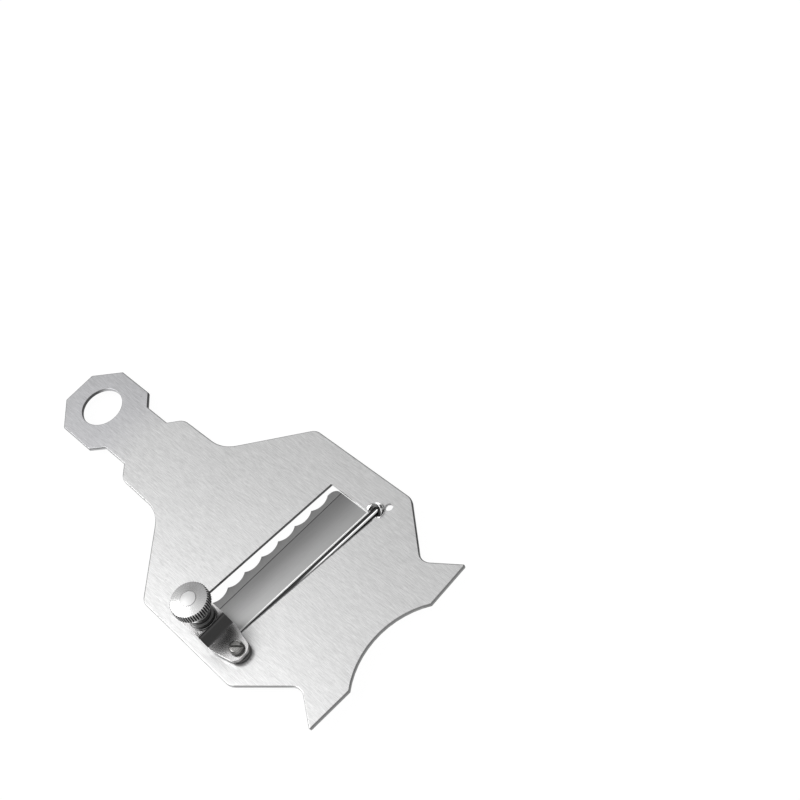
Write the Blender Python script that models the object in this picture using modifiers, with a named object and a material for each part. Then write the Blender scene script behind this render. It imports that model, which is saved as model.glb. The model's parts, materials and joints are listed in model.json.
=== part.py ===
"""Truffle slicer: a stamped steel plate with a slanting window, and a scalloped blade on a hinge rod
that a knurled thumb screw raises and lowers.

Frame: the origin is on the plate's underside, on its centre line, midway between the handle's end
and the tail. +Y runs to the handle's end, +X to the side with the pressed-up hood, +Z up.
"""
from math import asin, atan2, ceil, cos, floor, pi, radians, sin, tan

import bmesh
import bpy
from mathutils import Matrix, Vector

MM = 0.001

# Plate: half widths, and the length of each stretch of its outline from the handle's end to the tail
plate_thickness = 1.5 * MM
handle_end_half = 7.6 * MM
handle_half = 17.35 * MM
neck_half = 12.3 * MM
shoulder_half = 17.8 * MM
shank_half = 18.35 * MM
body_rear_half = 49.3 * MM
body_taper = 1.0 * MM
waist_half = 31.8 * MM
tail_tip_half = 41.5 * MM
tail_cut_half = 21.6 * MM
handle_slant_run = 10.9 * MM
handle_flat_run = 18.9 * MM
neck_drop_run = 5.6 * MM
neck_run = 13.5 * MM
shoulder_run = 5.5 * MM
shank_run = 24.95 * MM
flare_run = 27.25 * MM
body_run = 55.4 * MM
waist_run = 22.3 * MM
tail_run = 14.8 * MM
tail_tip_run = 0.9 * MM
tail_cut_depth = 7.4 * MM
shoulder_radius = 6.0 * MM
shank_radius = 15.0 * MM
body_front_radius = 5.0 * MM
body_rear_radius = 6.0 * MM
waist_radius = 5.0 * MM
tail_tip_radius = 0.6 * MM
corner_radius = 0.5 * MM
hanging_hole_radius = 9.1 * MM
hanging_hole_setback = 17.5 * MM

# Window: its ends are parallel to the plate's centre line, at these margins from the plate's widest
# place, and its long edges slant
window_right_margin = 14.7 * MM
window_left_margin = 7.8 * MM
window_setback = 21.2 * MM
window_depth = 24.7 * MM
window_front_slant = radians(4.56)
window_rear_slant = radians(6.06)

# Hinge rod: where it passes the window's right end, and how it lies
rod_radius = 1.5 * MM
rod_setback = 2.1 * MM
rod_sink = 0.6 * MM
rod_skew = radians(5.14)
rod_dip = radians(2.58)
rod_chamfer = 0.4 * MM
rod_hood_reach = 3.9 * MM

# Hood, pressed up out of the plate over the rod's right end, and the small hole beside it
hood_half_length = 4.3 * MM
hood_half_width = 3.7 * MM
hood_height = 2.7 * MM
hood_wall = 1.0 * MM
hood_setback = 1.6 * MM
hood_mouth_lean = radians(56.0)
hood_skirt_share = 0.25
channel_lead = 1.0 * MM
side_hole_radius = 1.65 * MM
side_hole_inset = 6.5 * MM
side_hole_setback = 2.75 * MM

# Blade: a strip from the rod to the cusps of its scallops
blade_thickness = 1.0 * MM
blade_reach = 20.95 * MM
blade_end_gap = 0.5 * MM
scallop_pitch = 8.73 * MM
scallop_depth = 1.8 * MM
scallop_margin = 4.1 * MM
blade_corner_radius = 3.2 * MM
grind_width = 4.75 * MM
grind_angle = radians(8.6)
grind_taper = radians(1.32)
fork_heel = 2.2 * MM
fork_arm = 11.35 * MM
fork_side_play = 0.5 * MM

# Thumb screw: M4, its axis near the window's left end
screw_inset = 4.0 * MM
thread_radius = 2.0 * MM
neck_radius = 1.2 * MM
clip_groove_radius = 0.95 * MM
clip_radius = 2.25 * MM
clip_thickness = 0.5 * MM
clip_mouth = radians(100.0)
stem_tip_length = 0.8 * MM
head_radius = 7.8 * MM
head_height = 4.3 * MM
head_chamfer = 0.5 * MM
head_crown = 0.6 * MM
knurl_depth = 0.45 * MM
knurl_count = 48
rivet_radius = 3.1 * MM
collar_height = 8.9 * MM
collar_lip_radius = 5.1 * MM
collar_lip_height = 1.2 * MM
collar_belly_radius = 5.0 * MM
collar_waist_radius = 4.2 * MM
collar_neck_share = 0.82
belly_top_share = 0.62
belly_bottom_share = 0.45

# Threaded bush, clinched in the bracket
bush_flange_radius = 5.55 * MM
bush_flange_height = 0.5 * MM
bush_radius = 3.2 * MM
bush_tail = 1.3 * MM

# Thrust washer
washer_radius = 2.3 * MM
washer_thickness = 0.5 * MM
fork_play = 0.65 * MM

# Bracket, from the raised flat under the knob down to the lobe that is screwed to the plate
sheet_thickness = 1.5 * MM
bracket_width = 13.1 * MM
bracket_offset = 0.3 * MM
flat_lead = 6.9 * MM
flat_trail = 5.6 * MM
ramp_run = 3.7 * MM
ramp_drop = 3.0 * MM
lobe_side_run = 1.8 * MM
lobe_tip_half = 3.95 * MM
lobe_shoulder_radius = 8.0 * MM
lobe_tip_radius = 3.85 * MM
lobe_overhang = 4.1 * MM
bend_radius = 1.0 * MM

# Spacer ring that the lobe stands on
ring_radius = 4.55 * MM
ring_thickness = 1.1 * MM

# Slotted pan-head screw, M3
fastener_radius = 1.5 * MM
fastener_head_radius = 3.0 * MM
fastener_head_height = 1.9 * MM
fastener_crown_shares = ((0.63, 1.0), (0.82, 0.89), (0.95, 0.67), (1.0, 0.33))
fastener_point_share = 0.33
fastener_hole_play = 0.3 * MM
fastener_setback = 18.9 * MM
slot_width = 0.8 * MM
slot_depth = 1.0 * MM
slot_turn = radians(-53.0)

# Bearing block and keeper, under the plate
block_width = 7.4 * MM
block_wall = 1.1 * MM
block_nose_rise = 0.9 * MM
block_nose_length = 2.6 * MM
block_tail = 3.6 * MM
block_end_wall = 0.9 * MM
keeper_width = 3.8 * MM
keeper_length = 13.0 * MM
keeper_thickness = 1.6 * MM
keeper_inset = 0.8 * MM

# Clearances: between faces that rest on each other, round shafts in bores, and beside moving edges
seat_gap = 0.3 * MM
running_gap = 0.1 * MM
side_gap = 0.6 * MM
overrun = 2.0 * MM

# How finely arcs and turned shapes are drawn
arc_step = radians(6.0)
round_steps = 32
rod_steps = 24
round_angle = radians(35.0)
flat_angle = radians(20.0)
weld_distance = 0.001 * MM


def clear_scene():
    for obj in list(bpy.data.objects):
        bpy.data.objects.remove(obj, do_unlink=True)
    for mesh in list(bpy.data.meshes):
        bpy.data.meshes.remove(mesh)


def collection(name):
    made = bpy.data.collections.new(name)
    bpy.context.scene.collection.children.link(made)
    return made


def finish(name, colour, roughness, metallic=1.0):
    """A plain material for one piece."""
    material = bpy.data.materials.new(name)
    material.use_nodes = True
    shader = material.node_tree.nodes["Principled BSDF"]
    shader.inputs["Base Color"].default_value = (*colour, 1.0)
    shader.inputs["Roughness"].default_value = roughness
    shader.inputs["Metallic"].default_value = metallic
    return material


def arc(centre, radius, start, sweep):
    """Points along an arc, both ends included."""
    steps = max(2, ceil(abs(sweep) / arc_step))
    angles = [start + sweep * i / steps for i in range(steps + 1)]
    return [Vector((centre[0] + radius * cos(a), centre[1] + radius * sin(a))) for a in angles]


def circle(centre, radius, steps=round_steps):
    angles = [2 * pi * i / steps for i in range(steps)]
    return [Vector((centre[0] + radius * cos(a), centre[1] + radius * sin(a))) for a in angles]


def rounded(corners):
    """A closed outline from (x, y, radius) corners, each turned into an arc where radius isn't 0."""
    outline = []
    count = len(corners)
    for i, (x, y, radius) in enumerate(corners):
        here = Vector((x, y))
        if radius == 0:
            outline.append(here)
            continue
        before = (Vector(corners[i - 1][:2]) - here).normalized()
        after = (Vector(corners[(i + 1) % count][:2]) - here).normalized()
        half = before.angle(after) / 2
        centre = here + (before + after).normalized() * radius / sin(half)
        first = here + before * radius / tan(half) - centre
        last = here + after * radius / tan(half) - centre
        sweep = -first.angle_signed(last)
        start = Vector((1, 0)).angle_signed(first)
        outline += arc(centre, radius, -start, sweep)
    return outline


def outline_object(name, outlines, bottom, top):
    """A flat shape between two heights: the first outline with the others as holes in it."""
    curve = bpy.data.curves.new(name, "CURVE")
    curve.dimensions = "2D"
    curve.fill_mode = "BOTH"
    curve.extrude = (top - bottom) / 2
    for outline in outlines:
        spline = curve.splines.new("POLY")
        spline.points.add(len(outline) - 1)
        for point, place in zip(spline.points, outline):
            point.co = (place[0], place[1], 0, 1)
        spline.use_cyclic_u = True
    obj = bpy.data.objects.new(name, curve)
    obj.location.z = (top + bottom) / 2
    return obj


def as_mesh(obj, target):
    """The curve object as a mesh object with its caps welded on, in the same place."""
    bpy.context.scene.collection.objects.link(obj)
    bpy.context.view_layer.update()
    evaluated = obj.evaluated_get(bpy.context.evaluated_depsgraph_get())
    mesh = bpy.data.meshes.new_from_object(evaluated)
    name = obj.name
    shape = bmesh.new()
    shape.from_mesh(mesh)
    bmesh.ops.remove_doubles(shape, verts=shape.verts, dist=weld_distance)
    shape.to_mesh(mesh)
    shape.free()
    where = obj.matrix_world.copy()
    curve = obj.data
    bpy.data.objects.remove(obj, do_unlink=True)
    bpy.data.curves.remove(curve)
    mesh.name = name
    made = bpy.data.objects.new(name, mesh)
    made.matrix_world = where
    target.objects.link(made)
    return made


def flat_piece(name, outlines, bottom, top, target):
    return as_mesh(outline_object(name, outlines, bottom, top), target)


def turned_piece(name, profile, target, steps=round_steps):
    """A turned shape about Z, from (radius, height) points running down its outer side. A profile
    that ends where it starts is a ring."""
    mesh = bpy.data.meshes.new(name)
    shape = bmesh.new()
    closed = profile[0] == profile[-1]
    points = profile[:-1] if closed else profile
    verts = [shape.verts.new((radius, 0, height)) for radius, height in points]
    for upper, lower in zip(verts, verts[1:]):
        shape.edges.new((upper, lower))
    if closed:
        shape.edges.new((verts[-1], verts[0]))
    shape.to_mesh(mesh)
    shape.free()
    obj = bpy.data.objects.new(name, mesh)
    target.objects.link(obj)
    screw = obj.modifiers.new("turn", "SCREW")
    screw.axis = "Z"
    screw.angle = 2 * pi
    screw.steps = steps
    screw.render_steps = steps
    screw.use_merge_vertices = True
    screw.merge_threshold = weld_distance
    return obj


def ring_profile(inner, outer, bottom, top):
    """Profile of a flat ring, closed on itself."""
    return [(inner, top), (outer, top), (outer, bottom), (inner, bottom), (inner, top)]


def box_piece(name, low, high, target):
    mesh = bpy.data.meshes.new(name)
    shape = bmesh.new()
    bmesh.ops.create_cube(shape, size=1)
    low = Vector(low)
    high = Vector(high)
    size = Matrix.Diagonal((*(high - low), 1))
    bmesh.ops.transform(shape, matrix=Matrix.Translation((low + high) / 2) @ size, verts=shape.verts)
    shape.to_mesh(mesh)
    shape.free()
    obj = bpy.data.objects.new(name, mesh)
    target.objects.link(obj)
    return obj


def rod_piece(name, radius, start, end, target, chamfer=0):
    """A round bar along the local X axis, with the chamfer on both ends."""
    profile = [(0, end), (radius - chamfer, end)]
    if chamfer > 0:
        profile += [(radius, end - chamfer), (radius, start + chamfer)]
    profile += [(radius - chamfer, start), (0, start)]
    obj = turned_piece(name, profile, target, rod_steps)
    obj.rotation_euler = (0, pi / 2, 0)
    return obj


def dome_piece(name, half_length, half_width, height, skirt, target):
    """Half an ellipsoid, open side down, with a straight skirt under it."""
    mesh = bpy.data.meshes.new(name)
    shape = bmesh.new()
    bmesh.ops.create_uvsphere(shape, u_segments=round_steps, v_segments=round_steps // 2, radius=1)
    size = Matrix.Diagonal((half_length, half_width, height, 1))
    bmesh.ops.transform(shape, matrix=size, verts=shape.verts)
    lower = [vert for vert in shape.verts if vert.co.z < -weld_distance]
    bmesh.ops.delete(shape, geom=lower, context="VERTS")
    rim = [edge for edge in shape.edges if edge.is_boundary]
    wall = bmesh.ops.extrude_edge_only(shape, edges=rim)["geom"]
    bmesh.ops.translate(
        shape, verts=[item for item in wall if isinstance(item, bmesh.types.BMVert)], vec=(0, 0, -skirt))
    bmesh.ops.holes_fill(shape, edges=shape.edges, sides=0)
    bmesh.ops.recalc_face_normals(shape, faces=shape.faces)
    shape.to_mesh(mesh)
    shape.free()
    obj = bpy.data.objects.new(name, mesh)
    target.objects.link(obj)
    return obj


def combine(obj, other, operation):
    step = obj.modifiers.new(other.name, "BOOLEAN")
    step.operation = operation
    step.solver = "EXACT"
    step.object = other


def cut(obj, *cutters):
    for cutter in cutters:
        combine(obj, cutter, "DIFFERENCE")


def place(obj, parent=None, location=None, rotation=None):
    if parent is not None:
        obj.parent = parent
    if location is not None:
        obj.location = location
    if rotation is not None:
        obj.rotation_euler = rotation
    return obj


def empty(name, location, rotation=(0, 0, 0)):
    obj = bpy.data.objects.new(name, None)
    obj.location = location
    obj.rotation_euler = rotation
    scene_parts.objects.link(obj)
    return obj


def dress(obj, material, smooth_angle=round_angle):
    obj.data.materials.clear()
    obj.data.materials.append(material)
    obj.data.shade_smooth()
    obj.data.set_sharp_from_angle(angle=smooth_angle)
    return obj


clear_scene()
scene_parts = collection("truffle_slicer")
cutters = collection("cutters")

# Stations down the plate, from the handle's end to the tail
runs = (handle_slant_run, handle_flat_run, neck_drop_run, neck_run, shoulder_run, shank_run,
        flare_run, body_run, waist_run, tail_run, tail_tip_run)
plate_length = sum(runs)
stations = [plate_length / 2]
for run in runs:
    stations.append(stations[-1] - run)
(handle_end_y, handle_front_y, handle_back_y, neck_front_y, neck_back_y, shoulder_y, shank_y,
 body_front_y, body_rear_y, waist_y, tail_tip_y, tail_y) = stations

# The body's half width at its front, the window's ends, and its long edges as heights over x
body_front_half = body_rear_half - body_taper
window_right = body_rear_half - window_right_margin
window_left = body_rear_half - window_left_margin
window_front_y = body_front_y - window_setback
window_rear_y = window_front_y - window_depth


def window_front(x):
    return window_front_y - tan(window_front_slant) * x


def window_rear(x):
    return window_rear_y - tan(window_rear_slant) * x


# The rod's axis: it passes the window's right end at rod_end and falls towards the left
rod_along = Vector((cos(rod_skew) * cos(rod_dip), -sin(rod_skew) * cos(rod_dip), sin(rod_dip)))
rod_across = Vector((sin(rod_skew), cos(rod_skew), 0))
rod_end = Vector((window_right, window_rear(window_right) + rod_setback, plate_thickness - rod_sink))
pivot_place = rod_end - rod_along * (window_right / rod_along.x)


def rod_run(x, reach=0):
    """How far along the rod the plate's x lies, on the line at this reach in front of the rod."""
    return (x - pivot_place.x - reach * rod_across.x) / rod_along.x


def rod_point(x):
    return pivot_place + rod_along * rod_run(x)


# The thumb screw's axis: over the fork, one arm's length in front of the rod
screw_x = screw_inset - window_left
fork_run = rod_run(screw_x, fork_arm)
fork_place = pivot_place + rod_along * fork_run + rod_across * fork_arm
screw_y = fork_place.y

# The bracket's flat and lobe, and the heights of what is stacked on the plate
bracket_x = screw_x - bracket_offset
fastener_y = screw_y - fastener_setback
ramp_top_y = screw_y - flat_trail
ramp_bottom_y = ramp_top_y - ramp_run
lobe_end_y = fastener_y - lobe_overhang
ring_bottom = plate_thickness + seat_gap
ring_top = ring_bottom + ring_thickness
lobe_bottom = ring_top + seat_gap
lobe_top = lobe_bottom + sheet_thickness
flat_top = lobe_top + ramp_drop
flat_bottom = lobe_bottom + ramp_drop


def plate_outline():
    half = [
        (handle_end_half, handle_end_y, corner_radius),
        (handle_half, handle_front_y, corner_radius),
        (handle_half, handle_back_y, corner_radius),
        (neck_half, neck_front_y, corner_radius),
        (neck_half, neck_back_y, corner_radius),
        (shoulder_half, shoulder_y, shoulder_radius),
        (shank_half, shank_y, shank_radius),
        (body_front_half, body_front_y, body_front_radius),
        (body_rear_half, body_rear_y, body_rear_radius),
        (waist_half, waist_y, waist_radius),
        (tail_tip_half, tail_tip_y, tail_tip_radius),
    ]
    right = rounded(half + [(tail_cut_half, tail_y, 0), (0, tail_y, 0), (0, handle_end_y, 0)])[:-2]
    left = [Vector((-point.x, point.y)) for point in reversed(right)]
    bow = (tail_cut_half ** 2 + tail_cut_depth ** 2) / (2 * tail_cut_depth)
    centre = (0, tail_y + tail_cut_depth - bow)
    half_sweep = asin(tail_cut_half / bow)
    tail = arc(centre, bow, pi / 2 - half_sweep, 2 * half_sweep)[1:-1]
    return right + tail + left


def make_plate():
    hanging_hole = circle((0, handle_end_y - hanging_hole_setback), hanging_hole_radius, 2 * round_steps)
    window = rounded([
        (window_right, window_front(window_right), corner_radius),
        (window_right, window_rear(window_right), 0),
        (-window_left, window_rear(-window_left), corner_radius),
        (-window_left, window_front(-window_left), corner_radius),
    ])
    side_hole_x = window_right + side_hole_inset
    side_hole = circle((side_hole_x, rod_point(side_hole_x).y - side_hole_setback),
                       side_hole_radius, rod_steps)
    screw_hole = circle((screw_x, fastener_y), fastener_radius + fastener_hole_play, rod_steps)
    plate = flat_piece("body_plate", [plate_outline(), hanging_hole, window, side_hole, screw_hole],
                       0, plate_thickness, scene_parts)

    hood_x = window_right + hood_setback
    hood_place = (hood_x, rod_point(hood_x).y, plate_thickness)
    hood_turn = (0, 0, -rod_skew)
    hood_skirt = plate_thickness * hood_skirt_share
    hood = dome_piece("hood_outside", hood_half_length, hood_half_width, hood_height, hood_skirt, cutters)
    hollow = dome_piece("hood_inside", hood_half_length - hood_wall, hood_half_width - hood_wall,
                        hood_height - hood_wall, plate_thickness + overrun, cutters)
    mouth = box_piece("hood_mouth", (-4 * hood_height, -2 * hood_half_width, -4 * hood_height),
                      (0, 2 * hood_half_width, 4 * hood_height), cutters)
    channel = rod_piece("hood_channel", rod_radius + seat_gap, rod_run(window_right) - channel_lead,
                        rod_run(window_right) + rod_hood_reach + seat_gap, cutters)
    place(hood, None, hood_place, hood_turn)
    place(hollow, None, hood_place, hood_turn)
    place(mouth, None, (window_right, rod_end.y, plate_thickness - hood_skirt), (0, hood_mouth_lean, 0))
    place(channel, pivot)
    cut(hood, mouth)
    combine(plate, hood, "UNION")
    cut(plate, hollow, channel)
    return plate


def blade_outline():
    """The blade in its own plane: first figure along the rod, second in front of it."""
    rear = rod_radius + seat_gap
    right_x = window_right - blade_end_gap
    tab_left_x = side_gap - window_left
    notch_x = screw_x + block_width / 2 + side_gap
    heel = rear + fork_heel
    corner_run = rod_run(right_x, blade_reach)
    tab_run = rod_run(tab_left_x, blade_reach)
    outline = [Vector((rod_run(right_x, rear), rear))]
    corner = rounded([
        (rod_run(right_x, rear), rear, 0),
        (corner_run, blade_reach, blade_corner_radius),
        (corner_run - scallop_margin, blade_reach, 0),
    ])
    outline += corner[1:-1]
    count = floor((corner_run - scallop_margin - tab_run) / scallop_pitch)
    half_chord = scallop_pitch / 2
    bow = (half_chord ** 2 + scallop_depth ** 2) / (2 * scallop_depth)
    half_sweep = asin(half_chord / bow)
    for i in range(count):
        middle = corner_run - scallop_margin - half_chord - i * scallop_pitch
        centre = (middle, blade_reach - scallop_depth + bow)
        scallop = arc(centre, bow, -pi / 2 + half_sweep, -2 * half_sweep)
        outline += scallop if i == 0 else scallop[1:]
    slot_half = neck_radius + fork_side_play
    slot = arc((fork_run, fork_arm), slot_half, pi / 2, -pi)
    outline.append(Vector((tab_run, blade_reach)))
    outline.append(Vector((rod_run(tab_left_x, fork_arm + slot_half), fork_arm + slot_half)))
    outline += slot
    outline.append(Vector((rod_run(tab_left_x, fork_arm - slot_half), fork_arm - slot_half)))
    outline.append(Vector((rod_run(tab_left_x, heel), heel)))
    outline.append(Vector((rod_run(notch_x, heel), heel)))
    outline.append(Vector((rod_run(notch_x, rear), rear)))
    return outline


def make_blade():
    blade = flat_piece("blade", [blade_outline()], -blade_thickness / 2, blade_thickness / 2, scene_parts)
    place(blade, pivot)
    grind = box_piece("blade_grind", (-2 * window_left, 0, 0),
                      (2 * window_left, blade_reach, blade_reach), cutters)
    place(grind, pivot, (0, blade_reach - grind_width, blade_thickness / 2), (-grind_angle, 0, grind_taper))
    cut(blade, grind)
    return blade


def make_rod():
    left_x = screw_x - block_width / 2 + block_end_wall + running_gap
    rod = rod_piece("hinge_rod", rod_radius, rod_run(left_x), rod_run(window_right) + rod_hood_reach,
                    scene_parts, rod_chamfer)
    place(rod, pivot)
    return rod


def make_keeper():
    """A strap welded under the hood, with a groove that the rod lies in."""
    keeper_x = window_right + keeper_inset + keeper_width / 2
    keeper = box_piece("rod_keeper", (-keeper_width / 2, -keeper_length / 2, -keeper_thickness),
                       (keeper_width / 2, keeper_length / 2, 0), scene_parts)
    place(keeper, None, (keeper_x, rod_point(keeper_x).y, -seat_gap), (0, 0, -rod_skew))
    groove = rod_piece("keeper_groove", rod_radius + seat_gap, 0, 2 * window_right, cutters)
    place(groove, pivot)
    cut(keeper, groove)
    return keeper


def make_bearing_block():
    """A block screwed up under the plate. Its nose stands in the window, over the rod."""
    rod_at = rod_point(screw_x)
    front = rod_at.y + block_nose_length
    nose_back = window_rear(-window_left) + seat_gap
    tail = fastener_y - block_tail
    bottom = rod_at.z - rod_radius - block_wall
    side = [(front, bottom), (front, block_nose_rise), (nose_back, block_nose_rise),
            (nose_back, -seat_gap), (tail, -seat_gap), (tail, bottom)]
    outline = [Vector(point) for point in side]
    block = flat_piece("bearing_block", [outline], -block_width / 2, block_width / 2, scene_parts)
    block.matrix_world = Matrix.Translation((screw_x, 0, 0)) @ Matrix(
        ((0, 0, 1, 0), (1, 0, 0, 0), (0, 1, 0, 0), (0, 0, 0, 1)))
    bore = rod_piece("block_bore", rod_radius + running_gap,
                     rod_run(screw_x - block_width / 2 + block_end_wall), 0, cutters)
    place(bore, pivot)
    tapping = turned_piece("block_thread", [
        (0, overrun), (fastener_radius + running_gap, overrun),
        (fastener_radius + running_gap, bottom - overrun), (0, bottom - overrun)], cutters, rod_steps)
    place(tapping, None, (screw_x, fastener_y, 0))
    cut(block, bore, tapping)
    return block


def lobe_outline(front_y):
    """The bracket's plan, from front_y to its round end."""
    half = bracket_width / 2
    side_y = ramp_bottom_y - lobe_side_run
    return rounded([
        (bracket_x + half, front_y, corner_radius),
        (bracket_x + half, side_y, lobe_shoulder_radius),
        (bracket_x + lobe_tip_half, lobe_end_y, lobe_tip_radius),
        (bracket_x - lobe_tip_half, lobe_end_y, lobe_tip_radius),
        (bracket_x - half, side_y, lobe_shoulder_radius),
        (bracket_x - half, front_y, corner_radius),
    ])


def make_bracket():
    half = bracket_width / 2
    front_y = screw_y + flat_lead
    under_shift = sheet_thickness * tan(atan2(ramp_drop, ramp_run) / 2)
    side = rounded([
        (front_y + overrun, flat_top, 0),
        (ramp_top_y, flat_top, bend_radius + sheet_thickness),
        (ramp_bottom_y, lobe_top, bend_radius),
        (lobe_end_y - overrun, lobe_top, 0),
        (lobe_end_y - overrun, lobe_bottom, 0),
        (ramp_bottom_y + under_shift, lobe_bottom, bend_radius + sheet_thickness),
        (ramp_top_y + under_shift, flat_bottom, bend_radius),
        (front_y + overrun, flat_bottom, 0),
    ])
    bracket = flat_piece("bracket", [side], -half - overrun, half + overrun, scene_parts)
    bracket.matrix_world = Matrix.Translation((bracket_x, 0, 0)) @ Matrix(
        ((0, 0, 1, 0), (1, 0, 0, 0), (0, 1, 0, 0), (0, 0, 0, 1)))
    bush_hole = circle((screw_x, screw_y), bush_radius + running_gap)
    screw_hole = circle((screw_x, fastener_y), fastener_radius + fastener_hole_play, rod_steps)
    plan = flat_piece("bracket_plan", [lobe_outline(front_y), bush_hole, screw_hole],
                      plate_thickness, flat_top + overrun, cutters)
    combine(bracket, plan, "INTERSECT")
    return bracket


def make_ring():
    ring = turned_piece("spacer_ring", ring_profile(
        fastener_radius + fastener_hole_play, ring_radius, ring_bottom, ring_top), scene_parts)
    return place(ring, None, (screw_x, fastener_y, 0))


def make_fastener():
    """The slotted pan-head screw through the lobe, the ring and the plate into the block."""
    seat = lobe_top + seat_gap
    top = seat + fastener_head_height
    tip = rod_point(screw_x).z - rod_radius - block_wall + seat_gap
    crown = [(radius_share * fastener_head_radius, seat + height_share * fastener_head_height)
             for radius_share, height_share in fastener_crown_shares]
    point = fastener_radius * fastener_point_share
    screw = turned_piece("bracket_screw", [(0, top)] + crown + [
        (fastener_head_radius, seat), (fastener_radius, seat), (fastener_radius, tip + point),
        (fastener_radius - point, tip), (0, tip)], scene_parts)
    place(screw, None, (screw_x, fastener_y, 0))
    slot = box_piece("screw_slot", (-fastener_head_radius - overrun, -slot_width / 2, top - slot_depth),
                     (fastener_head_radius + overrun, slot_width / 2, top + overrun), cutters)
    place(slot, None, (screw_x, fastener_y, 0), (0, 0, slot_turn))
    cut(screw, slot)
    return screw


def make_bush():
    bottom = flat_bottom - bush_tail
    seat = flat_top + seat_gap
    flange_top = seat + bush_flange_height
    bore = thread_radius + running_gap
    bush = turned_piece("threaded_bush", [
        (bore, flange_top), (bush_flange_radius, flange_top), (bush_flange_radius, seat),
        (bush_radius, seat), (bush_radius, bottom), (bore, bottom), (bore, flange_top)], scene_parts)
    return place(bush, screw_axis)


# Heights on the thumb screw, from the blade's fork up and from the bush up
fork_top = fork_place.z + blade_thickness / 2
fork_bottom = fork_place.z - blade_thickness / 2
washer_bottom = fork_top + fork_play
washer_top = washer_bottom + washer_thickness
stem_shoulder = washer_top + seat_gap
clip_top = fork_bottom - fork_play
clip_bottom = clip_top - clip_thickness
stem_tip = clip_bottom - stem_tip_length
collar_bottom = flat_top + 2 * seat_gap + bush_flange_height
collar_top = collar_bottom + collar_height
head_bottom = collar_top + seat_gap
head_rim_top = head_bottom + head_height
head_top = head_rim_top + head_crown
rivet_top = head_top + running_gap


def make_spindle():
    """Collar, threaded stem and necked end in one turned piece. Its top is riveted in the head."""
    lip_top = collar_bottom + collar_lip_height
    groove_top = clip_top + running_gap
    groove_bottom = clip_bottom - running_gap
    spindle = turned_piece("spindle", [
        (0, rivet_top), (rivet_radius, rivet_top), (rivet_radius, collar_top),
        (collar_waist_radius, collar_top),
        (collar_waist_radius, collar_bottom + collar_height * collar_neck_share),
        (collar_belly_radius, collar_bottom + collar_height * belly_top_share),
        (collar_belly_radius, collar_bottom + collar_height * belly_bottom_share),
        (collar_waist_radius, lip_top + collar_lip_height),
        (collar_waist_radius, lip_top),
        (collar_lip_radius, lip_top), (collar_lip_radius, collar_bottom),
        (thread_radius, collar_bottom), (thread_radius, stem_shoulder),
        (neck_radius, stem_shoulder), (neck_radius, groove_top),
        (clip_groove_radius, groove_top), (clip_groove_radius, groove_bottom),
        (neck_radius, groove_bottom), (neck_radius, stem_tip), (0, stem_tip)], scene_parts)
    return place(spindle, screw_axis)


def make_head():
    bore = rivet_radius + running_gap
    teeth = []
    for i in range(knurl_count):
        for share, radius in ((0, head_radius), (0.5, head_radius - knurl_depth)):
            angle = 2 * pi * (i + share) / knurl_count
            teeth.append(Vector((radius * cos(angle), radius * sin(angle))))
    head = flat_piece("knob_head", [teeth], head_bottom - overrun, head_top + overrun, scene_parts)
    rim = head_radius - head_chamfer
    outside = rim + 2 * head_chamfer
    blank = turned_piece("head_blank", [
        (bore, head_top), (rim, head_rim_top), (outside, head_rim_top - 2 * head_chamfer),
        (outside, head_bottom + 2 * head_chamfer), (rim, head_bottom), (bore, head_bottom),
        (bore, head_top)], cutters, 2 * round_steps)
    place(blank, screw_axis)
    combine(head, blank, "INTERSECT")
    return place(head, screw_axis)


def make_washer():
    washer = turned_piece("thrust_washer", ring_profile(
        neck_radius + running_gap, washer_radius, washer_bottom, washer_top), scene_parts)
    return place(washer, screw_axis)


def make_clip():
    """A C-shaped clip snapped in the neck's groove."""
    inner = clip_groove_radius + running_gap
    outline = arc((0, 0), clip_radius, clip_mouth / 2, 2 * pi - clip_mouth)
    outline += arc((0, 0), inner, -clip_mouth / 2, clip_mouth - 2 * pi)
    clip = flat_piece("retaining_clip", [outline], clip_bottom, clip_top, scene_parts)
    return place(clip, screw_axis)


pivot = empty("blade_pivot", pivot_place, (0, -rod_dip, -rod_skew))
screw_axis = empty("screw_axis", (screw_x, screw_y, 0))

plate_steel = finish("plate_steel", (0.62, 0.62, 0.61), 0.34)
dress(make_plate(), plate_steel)
dress(make_blade(), finish("blade_steel", (0.50, 0.50, 0.50), 0.38), flat_angle)
dress(make_rod(), finish("rod_steel", (0.60, 0.60, 0.60), 0.18))
dress(make_keeper(), finish("keeper_steel", (0.52, 0.52, 0.52), 0.40))
dress(make_bearing_block(), finish("block_steel", (0.50, 0.50, 0.50), 0.42))
dress(make_bracket(), finish("bracket_steel", (0.56, 0.55, 0.55), 0.26))
dress(make_ring(), finish("ring_steel", (0.40, 0.40, 0.40), 0.40))
dress(make_fastener(), finish("fastener_steel", (0.55, 0.55, 0.54), 0.25))
dress(make_bush(), finish("bush_steel", (0.55, 0.55, 0.55), 0.28))
dress(make_spindle(), finish("spindle_chrome", (0.66, 0.66, 0.66), 0.12))
dress(make_head(), finish("head_chrome", (0.68, 0.68, 0.68), 0.20))
dress(make_washer(), finish("washer_steel", (0.55, 0.55, 0.55), 0.35))
dress(make_clip(), finish("clip_steel", (0.35, 0.35, 0.36), 0.40))

for cutter in cutters.objects:
    cutter.hide_render = True
    cutter.display_type = "WIRE"
bpy.context.view_layer.update()
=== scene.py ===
import json
from math import cos, pi, radians, sin

import bmesh
import bpy
from mathutils import Matrix, Vector


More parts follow.
